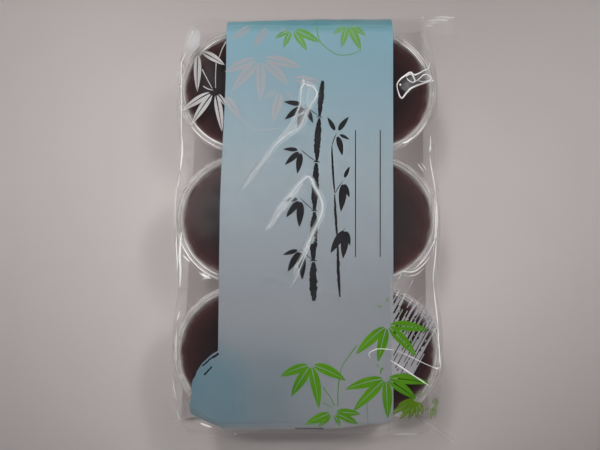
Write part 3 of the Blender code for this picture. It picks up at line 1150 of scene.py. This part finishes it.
# Each spray: where its leaves meet, and each leaf's tip, then how far it bends to its left in degrees
green_sprays = (
    ((1.8, -77.0), (((-14.5, -83.7), 14), ((-8.7, -94.0), 8), ((5.9, -100.1), -6), ((20.1, -85.8), -14))),
    ((42.0, -56.7), (((25.5, -72.3), 14), ((37.0, -76.0), 6), ((57.5, -73.4), -8), ((64.1, -59.8), -14))),
    (
        (41.1, -84.2),
        (
            ((19.5, -90.4), 14), ((23.6, -101.7), 8), ((41.8, -105.2), 0), ((57.1, -95.5), -8),
            ((64.1, -87.3), -12),
        ),
    ),
    (
        (13.2, -101.7),
        (
            ((-1.9, -109.0), 10), ((5.4, -110.4), 8), ((17.3, -110.2), -6), ((26.7, -108.6), -10),
            ((27.8, -102.9), -8),
        ),
    ),
    ((41.0, -48.0), (((36.6, -46.2), 4),)),
    ((42.2, -46.6), (((42.6, -41.8), 0),)),
    ((45.6, -48.6), (((50.4, -50.4), -4),)),
    ((37.6, -80.4), (((36.4, -76.6), 0),)),
)
corner_sprays = (
    (
        (57.0, -95.2),
        (
            ((47.0, -98.2), 10), ((43.8, -102.6), 10), ((48.0, -105.4), 6), ((52.6, -106.0), 0),
            ((57.0, -105.6), -4), ((61.0, -104.4), -8), ((60.4, -90.8), 4),
        ),
    ),
    (
        (65.6, -99.2),
        (
            ((71.6, -105.6), -6), ((71.6, -101.0), -10), ((69.6, -94.6), 6), ((61.0, -101.8), 4),
            ((66.4, -107.4), 0), ((69.4, -107.0), -4), ((66.6, -94.0), 4), ((72.4, -98.0), -6),
        ),
    ),
)
far_sprays = (
    ((-8.4, 107.0), (((-18.0, 100.6), 12), ((-13.2, 95.2), 8), ((-0.1, 93.8), -4), ((7.2, 98.4), -12))),
    ((22.6, 109.6), (((14.3, 103.2), 10), ((18.9, 95.3), 4), ((29.7, 93.9), -4), ((32.6, 102.0), -8))),
)
white_sprays = (
    ((-50.8, 71.6), (((-68.6, 59.4), 12), ((-63.2, 52.0), 8), ((-46.6, 47.8), -4), ((-44.8, 62.4), -8))),
    ((-60.6, 94.6), (((-45.6, 85.4), -8), ((-60.4, 70.2), 4))),
)
pale_sprays = (
    (
        (-25.9, 89.8),
        (
            ((-45.6, 81.4), 12), ((-41.6, 70.4), 8), ((-25.9, 64.8), -2), ((-10.2, 74.0), -8),
            ((-2.8, 83.8), -12),
        ),
    ),
    ((-14.1, 72.6), (((-24.2, 66.2), 10), ((-18.9, 53.4), 4), ((-7.4, 65.2), -8))),
    ((-46.8, 69.8), (((-36.8, 55.4), -6),)),
    ((-29.0, 109.4), (((-42.2, 100.0), 8),)),
    ((-20.6, 109.4), (((-30.0, 95.4), 6),)),
    ((-17.6, 108.6), (((-9.6, 103.0), -6),)),
    ((-10.6, 78.0), (((7.0, 75.8), -4),)),
)


def add_leaf(mesh, root, tip, bend, breadth, gap_width, clear_root=2.0):
    """Adds one leaf in plan, in mm: two halves, each a strip from near the root to the tip."""
    start, end = Vector(root), Vector(tip)
    run = end - start
    start = start + run.normalized() * min(clear_root, 0.3 * run.length)
    run = end - start
    length = run.length
    breadth = min(breadth, leaf_slenderness * length)
    heading = math.atan2(run.y, run.x) - math.radians(bend) / 2
    centre, turns = [], []
    place = start.copy()
    for i in range(leaf_steps + 1):
        turn = heading + math.radians(bend) * i / leaf_steps
        centre.append(place.copy())
        turns.append(turn)
        place += Vector((math.cos(turn), math.sin(turn))) * length / leaf_steps
    peak = leaf_widest ** 0.55 * (1 - leaf_widest) ** 0.95
    for side, wide in ((1, 1.08), (-1, 0.92)):
        rows = []
        for i, (spot, turn) in enumerate(zip(centre, turns)):
            u = i / leaf_steps
            gap = gap_width / 2 * (1 - 0.75 * u)
            edge = max(breadth / 2 * wide * max(u, 0.02) ** 0.55 * max(1 - u, 0) ** 0.95 / peak, gap + 0.01)
            left = Vector((-math.sin(turn), math.cos(turn))) * side
            aways = [gap + (edge - gap) * k / 2 for k in range(3)]
            rows.append([mesh.verts.new((*(spot + left * away) * mm, 0)) for away in aways])
        for lower, upper in zip(rows, rows[1:]):
            for k in range(2):
                corners = (lower[k], upper[k], upper[k + 1], lower[k + 1])
                mesh.faces.new(corners if side < 0 else corners[::-1])


def add_stem(mesh, points, width):
    """Adds a thin bent line in plan, in mm, tapered towards its end."""
    rows = []
    for i, point in enumerate(points):
        ahead = Vector(points[min(i + 1, len(points) - 1)]) - Vector(points[max(i - 1, 0)])
        left = Vector((-ahead.y, ahead.x)).normalized() * width / 2 * (1 - 0.4 * i / len(points))
        rows.append([mesh.verts.new((*(Vector(point) + side * left) * mm, 0)) for side in (1, -1)])
    for lower, upper in zip(rows, rows[1:]):
        mesh.faces.new((lower[0], lower[1], upper[1], upper[0]))


def smooth_line(points, steps):
    """A smooth line through points in plan, with a number of steps from each to the next."""
    spots = [Vector(point) for point in points]
    spots = [2 * spots[0] - spots[1]] + spots + [2 * spots[-1] - spots[-2]]
    line = []
    for before, start, end, after in zip(spots, spots[1:], spots[2:], spots[3:]):
        for i in range(steps):
            t = i / steps
            line.append(
                0.5 * (
                    2 * start + (end - before) * t + (2 * before - 5 * start + 4 * end - after) * t ** 2
                    + (3 * start - before - 3 * end + after) * t ** 3
                )
            )
    return line + [spots[-2]]


def spray_piece(name, sprays, stems, breadth, gap_width, clear_root):
    """Leaves and stems as one flat piece."""
    mesh = bmesh.new()
    for root, leaves in sprays:
        for tip, bend in leaves:
            add_leaf(mesh, root, tip, bend, breadth, gap_width, clear_root)
    for points, width in stems:
        add_stem(mesh, smooth_line(points, 12), width)
    return piece_of(mesh, name)


green_stems = (
    (((26.0, -67.2), (18.6, -77.5), (16.6, -84.0)), 0.5), (((16.6, -84.0), (15.8, -92.0), (15.8, -99.1)), 0.5),
    (((8.0, -88.9), (11.4, -93.5), (14.3, -98.6)), 0.5), (((8.0, -97.1), (10.3, -98.1), (12.7, -99.6)), 0.35),
    (((31.0, -96.6), (31.2, -102.0), (31.4, -107.3)), 0.35),
    (((39.6, -79.0), (38.6, -80.4), (38.2, -82.2)), 0.9),
)
far_stems = ((((5.0, 108.4), (7.4, 99.0), (15.9, 91.9), (23.8, 91.6), (29.7, 94.0)), 0.6),)
white_stems = (
    (((-58.0, 83.1), (-55.2, 77.6), (-52.3, 72.3)), 0.55),
    (((-50.3, 86.5), (-50.5, 79.5), (-50.4, 72.6)), 0.55),
    (((-57.3, 73.5), (-54.6, 72.0), (-51.8, 71.2)), 0.55), (((-45.0, 99.0), (-47.2, 94.5), (-48.7, 90.0)), 0.6),
)
pale_stems = (
    (((-43.0, 63.5), (-37.5, 56.4), (-31.3, 50.8), (-26.5, 48.8), (-15.6, 49.8)), 0.7),
    (((-46.4, 66.0), (-42.6, 66.2), (-41.0, 65.4)), 0.6),
)
# Each piece: its sprays and stems, how broad its leaves are and their bare midrib and root, in mm, its
# print with two tints and how fine their unevenness is, and its slot
leaf_pieces = {
    "green_leaves": (
        green_sprays, green_stems, (5.2, 0.55, 2.0),
        ("green print", ((0.066, 0.228, 0.001), (0.105, 0.310, 0.004)), 60), "leaves",
    ),
    "corner_leaves": (
        corner_sprays, (), (3.6, 0.45, 1.2),
        ("yellow-green print", ((0.100, 0.205, 0.004), (0.155, 0.285, 0.012)), 60), "leaves",
    ),
    "far_leaves": (
        far_sprays, far_stems, (4.8, 0.55, 2.2),
        ("light green print", ((0.14, 0.37, 0.06), (0.22, 0.44, 0.12)), 60), "leaves",
    ),
    "white_leaves": (
        white_sprays, white_stems, (4.1, 0.8, 3.6),
        ("white print", ((0.50, 0.475, 0.475), (0.60, 0.575, 0.575)), 60), "back_print",
    ),
    "pale_leaves": (
        pale_sprays, pale_stems, (5.6, 1.0, 3.0),
        ("pale print on the band", ((0.385, 0.395, 0.415), (0.425, 0.425, 0.44)), 40), "print",
    ),
}
for name, (sprays, stems, sizes, look, slot) in leaf_pieces.items():
    lay(spray_piece(name, sprays, stems, *sizes), leaf_depth, print_finish(*look))

# The dry brush: at its near right the band is brushed out over the cup, in slanting bristle marks that
# break up as the ink runs out.
bristle_slant = math.radians(60)
bristle_pitch = 0.5
bristle_cell = 0.7
# Along the slant, in mm, where the marks start and end, for bristles at places across it
brush_start = ((53, -4), (79, -48.8), (82.4, -52.4), (84.4, -46), (89.6, -44))
brush_end = ((53, -3), (57, -7), (60, -10), (76, -11), (80, -12), (84, -11), (87, -15), (89.6, -26))
# The widest bare gap between bristles: its places across, and where it starts and ends along
gap_across = (70.1, 68.7)
gap_along = (-32.0, -10.0)


def inked(across, along, draw):
    """Whether a bristle leaves ink here: surely near the band, more seldom further out."""
    start = np.interp(across, *zip(*brush_start))
    end = np.interp(across, *zip(*brush_end))
    if not start <= along <= end:
        return False
    part = (along - gap_along[0]) / (gap_along[1] - gap_along[0])
    middle = gap_across[0] + (gap_across[1] - gap_across[0]) * part
    if 0 < part < 1 and abs(across - middle) < 0.5 + 0.9 * part:
        return False
    dryness = ((along - start) / (end - start)) ** 0.8
    streaks = 0.75 * math.sin(2.9 * across + 1.3 * math.sin(along / 9 + 1))
    streaks += 0.55 * math.sin(4.7 * across + 2 + 1.1 * math.sin(along / 6))
    return streaks + draw.uniform(-0.35, 0.35) > 1.75 * dryness - 1.35


def brushed_out(name, seed):
    """The bristle marks as one flat piece, each in cells that are inked or bare."""
    draw = np.random.default_rng(seed)
    mesh = bmesh.new()
    ahead = Vector((math.cos(bristle_slant), math.sin(bristle_slant)))
    aside = Vector((ahead.y, -ahead.x))
    for k in range(round((brush_end[-1][0] - brush_end[0][0]) / bristle_pitch)):
        across = brush_end[0][0] + k * bristle_pitch
        run = []
        for i in range(-80, 10):
            along = i * bristle_cell
            if inked(across, along, draw):
                half = bristle_pitch * draw.uniform(0.5, 0.62)
                spot = ahead * along + aside * (across + draw.uniform(-0.05, 0.05))
                run.append([mesh.verts.new((*(spot + aside * side * half) * mm, 0)) for side in (-1, 1)])
                if len(run) > 1:
                    mesh.faces.new((run[-2][0], run[-2][1], run[-1][1], run[-1][0]))
            else:
                run = []
    loose = [vert for vert in mesh.verts if not vert.link_faces]
    bmesh.ops.delete(mesh, geom=loose, context="VERTS")
    return piece_of(mesh, name)


brush_depth = 0.17
brush_tints = ((0.31, 0.305, 0.325), (0.40, 0.39, 0.405))
lay(brushed_out("dry_brush", 41), brush_depth, print_finish("dry brush print", brush_tints, 60))
# The single bristles' fine lines beyond the marks: from and to in plan, and width, in mm
bristle_lines = (
    ((46.1, -37.9), (49.9, -29.9), 0.7), ((47.3, -41.3), (52.8, -31.5), 0.9),
    ((48.6, -46.3), (56.2, -33.0), 0.9), ((52.8, -47.6), (56.9, -41.5), 0.5),
    ((55.0, -49.7), (60.7, -41.7), 0.7), ((57.1, -51.8), (61.7, -45.1), 0.6),
    ((60.0, -52.2), (64.2, -45.5), 0.6), ((63.4, -52.2), (66.4, -46.7), 0.5),
    ((64.0, -58.6), (68.2, -51.6), 0.6), ((65.4, -62.6), (68.6, -57.0), 0.5),
)
bristle_depth = 0.15
bristle_tints = ((0.42, 0.40, 0.41), (0.52, 0.50, 0.50))
bristle_mesh = bmesh.new()
for start, end, width in bristle_lines:
    add_stem(bristle_mesh, smooth_line((start, Vector(start).lerp(Vector(end), 0.5), end), 10), width)
bristle_finish = print_finish("light bristle lines", bristle_tints, 60)
lay(piece_of(bristle_mesh, "bristle_lines"), bristle_depth, bristle_finish)

# The dark print on the band: two fine upright rules, a short bar at the near edge that the wrapping
# machine reads, and two stalks of bamboo in brushed ink.
rule_width = 0.5
rule_steps = 90
rules = (((26.3, 48.7), (25.7, -20.7)), ((39.8, 48.7), (38.9, -20.7)))
bar_left, bar_right, bar_near, bar_far = -6.6, 8.5, -111.6, -110.4
bar_steps = 16
ink_tints = ((0.012, 0.012, 0.014), (0.022, 0.022, 0.025))


def ink_lines(name):
    """The rules and the bar, in short cells that can follow the film."""
    mesh = bmesh.new()
    for start, end in rules:
        line = [Vector(start).lerp(Vector(end), i / rule_steps) for i in range(rule_steps + 1)]
        rows = [
            [mesh.verts.new((*(point + Vector((side * rule_width / 2, 0))) * mm, 0)) for side in (-1, 1)]
            for point in line
        ]
        for lower, upper in zip(rows, rows[1:]):
            mesh.faces.new((lower[1], lower[0], upper[0], upper[1]))
    edges = np.linspace(bar_left, bar_right, bar_steps + 1)
    for west, east in zip(edges, edges[1:]):
        corners = ((west, bar_near), (east, bar_near), (east, bar_far), (west, bar_far))
        mesh.faces.new([mesh.verts.new((x * mm, y * mm, 0)) for x, y in corners])
    bmesh.ops.remove_doubles(mesh, verts=mesh.verts, dist=1e-6)
    bmesh.ops.recalc_face_normals(mesh, faces=mesh.faces)
    return piece_of(mesh, name)


ink_finish = print_finish("black print", ink_tints, 120)
lay(ink_lines("printed_lines"), leaf_depth, ink_finish)

# The bamboo in brushed ink: two stalks in short lengths, and leaves in single strokes of the brush
ink_lengths = (
    ((3.4, -44.0), (3.2, -23.4), 4.6), ((3.2, -22.2), (3.8, 3.6), 4.4), ((3.8, 4.8), (5.0, 30.6), 4.1),
    ((5.1, 31.8), (6.6, 55.4), 3.8), ((6.7, 56.6), (8.6, 76.6), 3.4), ((17.2, -42.0), (16.2, -12.4), 1.8),
    ((16.1, -11.4), (14.8, 13.2), 1.4), ((14.7, 14.2), (13.4, 40.0), 1.2),
    ((1.2, -22.6), (5.2, -22.9), 0.7), ((1.9, 4.3), (5.8, 4.0), 0.7), ((3.2, 31.3), (7.0, 31.0), 0.7),
    ((4.9, 56.1), (8.4, 55.8), 0.6), ((6.6, 56.6), (-1.6, 63.0), 0.5), ((5.0, 31.4), (-3.4, 38.0), 0.5),
    ((3.8, 4.4), (-3.6, 11.0), 0.5), ((14.8, 13.6), (19.4, 20.6), 0.5), ((16.2, -11.8), (20.4, -5.0), 0.5),
    ((3.2, -22.6), (-3.6, -16.4), 0.5), ((13.4, 40.0), (16.0, 47.0), 0.5),
)
ink_sprays = (
    ((-1.6, 63.0), (((-13.0, 64.6), 10), ((-12.4, 54.6), 8), ((-5.2, 49.2), 4), ((3.0, 52.6), -8))),
    ((-3.4, 38.0), (((-13.2, 38.2), 8), ((-12.2, 29.4), 8), ((-5.4, 24.6), 4))),
    ((16.0, 47.0), (((22.8, 56.2), -8), ((23.0, 43.4), -8), ((19.0, 34.6), -4), ((11.0, 56.0), 6))),
    ((19.4, 20.6), (((23.0, 28.6), -4), ((22.6, 11.4), -6), ((18.0, 3.8), -2))),
    ((-3.6, 11.0), (((-13.4, 9.6), 8), ((-11.4, 0.6), 8), ((-4.4, -4.6), 2))),
    ((20.4, -5.0), (((22.8, -14.6), -4), ((19.0, -21.6), 0), ((12.4, -18.6), 8))),
    ((-3.6, -16.4), (((-13.2, -19.6), 8), ((-10.6, -28.6), 6), ((-2.8, -32.8), -2))),
)
ink_breadth = 4.2


def add_stroke(mesh, start, end, width, draw):
    """Adds one stroke of the brush in plan, in mm, its edges rough."""
    rows = []
    run = Vector(end) - Vector(start)
    steps = max(round(run.length / 0.8), 6)
    left = Vector((-run.y, run.x)).normalized()
    for i in range(steps + 1):
        u = i / steps
        swell = math.sin(math.pi * min(max(u, 0.04), 0.97)) ** 0.4
        place = Vector(start) + run * u + left * 0.25 * math.sin(3 * u)
        reaches = [width / 2 * swell * draw.uniform(0.7, 1.12) for _ in range(2)]
        rows.append([mesh.verts.new((*(place + left * shift) * mm, 0)) for shift in (reaches[0], -reaches[1])])
    for lower, upper in zip(rows, rows[1:]):
        mesh.faces.new((lower[0], lower[1], upper[1], upper[0]))


def brushed_bamboo(name):
    """The strokes and leaves as one flat piece."""
    draw = np.random.default_rng(7)
    mesh = bmesh.new()
    for start, end, width in ink_lengths:
        add_stroke(mesh, start, end, width, draw)
    for root, leaves in ink_sprays:
        for tip, bend in leaves:
            add_leaf(mesh, root, tip, bend, ink_breadth, 0)
    return piece_of(mesh, name)


ink_bamboo = brushed_bamboo("ink_bamboo")
lay(ink_bamboo, leaf_depth, ink_finish)

# The soft folds over the print: painted highlights where the taut film's folds catch the light, in soft white
# lines, and wide faint ones a painted sheen over the band and the far left cup.
fold_height = 0.04
fold_breadth = 3.0
fold_highlight_gain = 1.12
fold_softness = 0.75
fold_unevenness = (0.85, 1.1)
fold_highlight_tint = (0.86, 0.91, 0.93, 1)
# Each fold: its widths and its painted highlight's strength, evenly spaced along it, and the points that it
# passes in plan
milky_folds = (
    (
        (1.0, 0.8, 0.7, 0.8), (0.95, 0.55, 0.50, 0.30),
        (
            (-2.6, 78.2), (-1.9, 75.4), (-3.3, 71.8), (-3.7, 66.9), (-4.0, 62.7), (-6.7, 56.3), (-9.5, 51.5),
            (-12.2, 46.6), (-14.6, 43.4),
        ),
    ),
    (
        (0.9, 0.9, 1.0, 1.7, 2.1, 1.7, 1.0), (0.90, 0.62, 0.60, 0.52, 0.46, 0.34, 0.10),
        (
            (-2.2, 77.4), (-1.3, 74.7), (2.9, 73.2), (5.3, 69.7), (4.2, 66.2), (2.2, 63.4), (-0.2, 59.1),
            (-1.9, 54.9), (-4.0, 50.7), (-8.1, 48.0), (-12.2, 45.4), (-17.6, 40.3), (-23.0, 32.7),
            (-29.7, 23.8), (-33.7, 17.6), (-37.7, 10.7),
        ),
    ),
    ((0.9, 0.7), (0.50, 0.35), ((-1.3, 59.1), (-4.7, 57.1), (-7.8, 55.3))),
    (
        (4.0, 5.0, 3.0, 1.6), (0.26, 0.24, 0.24, 0.20),
        ((-1.4, 76.0), (0.8, 71.4), (0.6, 66.0), (-1.8, 60.0), (-5.4, 54.0), (-11.4, 46.8)),
    ),
    (
        (1.2, 1.0, 0.9, 0.9), (0.66, 0.55, 0.50, 0.40),
        (
            (3.0, 19.6), (2.1, 21.9), (-0.2, 22.9), (-3.3, 20.3), (-6.7, 16.2), (-10.0, 12.1), (-14.1, 7.4),
            (-19.4, 0.6),
        ),
    ),
    (
        (0.8, 0.9, 0.9, 0.9), (0.40, 0.46, 0.46, 0.36),
        (
            (-2.0, 21.2), (-4.0, 17.6), (-6.7, 12.8), (-9.4, 9.4), (-12.1, 6.0), (-16.1, 1.2), (-19.4, -2.8),
            (-23.4, -7.5),
        ),
    ),
    (
        (1.8, 2.6, 2.6), (0.16, 0.20, 0.14),
        ((-2.6, 19.2), (-6.8, 14.4), (-11.6, 8.6), (-17.4, 1.2), (-21.4, -4.0)),
    ),
    (
        (1.2, 1.4, 1.6, 1.4, 1.2, 1.0), (0.66, 0.60, 0.52, 0.50, 0.46, 0.34),
        (
            (-0.8, 22.9), (2.1, 21.7), (3.8, 17.6), (5.4, 14.8), (7.1, 11.4), (8.1, 8.0), (8.1, 4.6), (7.1, 1.2),
            (5.7, -2.1), (3.7, -6.2), (2.1, -9.6), (0.3, -13.6), (-1.3, -17.0), (-2.7, -20.3), (-4.6, -23.7),
            (-6.7, -27.7), (-7.7, -30.3),
        ),
    ),
    (
        (0.9, 0.8, 0.7), (0.46, 0.42, 0.30),
        (
            (4.6, -3.4), (2.7, -7.5), (1.4, -12.3), (0.0, -17.0), (-1.3, -20.3), (-3.0, -24.3), (-5.7, -31.0),
            (-9.6, -38.0),
        ),
    ),
    ((2.8, 3.4), (0.20, 0.16), ((53.0, 70.4), (56.6, 76.0), (62.0, 78.2), (68.4, 79.6))),
    (
        (3.0, 4.6, 4.6, 3.4), (0.10, 0.24, 0.22, 0.12),
        ((-62.0, 113.0), (-64.4, 106.0), (-65.4, 98.0), (-65.6, 90.0)),
    ),
    ((8.0, 9.0, 8.0), (0.03, 0.07, 0.03), ((-38.0, 66.0), (-35.0, 44.0), (-37.0, 22.0))),
    ((2.0, 3.0, 2.0), (0.14, 0.22, 0.14), ((-60.0, 107.0), (-61.0, 99.0), (-60.0, 92.0))),
    ((6.0, 7.0, 6.0), (0.02, 0.03, 0.02), ((-56.0, 92.0), (-54.0, 76.0), (-58.0, 60.0))),
    ((1.0, 1.4, 1.0), (0.14, 0.22, 0.14), ((64.6, 104.0), (67.4, 98.0), (68.4, 90.0))),
)


def add_fold(mesh, widths, strengths, points):
    """Adds one fold in plan, in mm, and keeps at its points how far they are to its edges and how strong its
    painted highlight is.
    """
    to_edge = mesh.verts.layers.float.get("to_edge") or mesh.verts.layers.float.new("to_edge")
    highlight_strength = mesh.verts.layers.float.get("highlight_strength") or mesh.verts.layers.float.new("highlight_strength")
    line = smooth_line(points, 6)
    rows = []
    for i, spot in enumerate(line):
        along = i / (len(line) - 1)
        ahead = line[min(i + 1, len(line) - 1)] - line[max(i - 1, 0)]
        left = Vector((-ahead.y, ahead.x)).normalized()
        width = fold_breadth * np.interp(along * (len(widths) - 1), range(len(widths)), widths)
        fold_highlight = fold_highlight_gain * np.interp(along * (len(strengths) - 1), range(len(strengths)), strengths)
        row = []
        for k in range(-3, 4):
            vert = mesh.verts.new((*(spot + left * width / 2 * k / 3) * mm, 0))
            vert[to_edge] = abs(k) / 3
            vert[highlight_strength] = fold_highlight * float(ease(along / 0.08) * ease((1 - along) / 0.10))
            row.append(vert)
        rows.append(row)
    for lower, upper in zip(rows, rows[1:]):
        for k in range(6):
            mesh.faces.new((lower[k], lower[k + 1], upper[k + 1], upper[k]))


def fold_finish():
    """A painted highlight: white in the middle of a fold and clear at its edges."""
    finish, tree, place, surface = new_finish("painted fold highlight")
    fade = math_of(tree, "SUBTRACT", 1.0, math_of(tree, "POWER", kept_value(tree, "to_edge"), fold_softness))
    share = math_of(tree, "MULTIPLY", fade, kept_value(tree, "highlight_strength"))
    uneven = ranged(tree, noise(tree, place, 160, 3), 0, 1, *fold_unevenness)
    share = math_of(tree, "MULTIPLY", share, uneven, use_clamp=True)
    white_haze_and_sheen = bsdf(tree, "Diffuse", {"Color": fold_highlight_tint})
    tree.links.new(mixed(tree, share, bsdf(tree, "Transparent"), white_haze_and_sheen), surface)
    return finish


fold_mesh = bmesh.new()
for widths, strengths, points in milky_folds:
    add_fold(fold_mesh, widths, strengths, points)
lay(piece_of(fold_mesh, "milky_folds"), -fold_height, fold_finish())
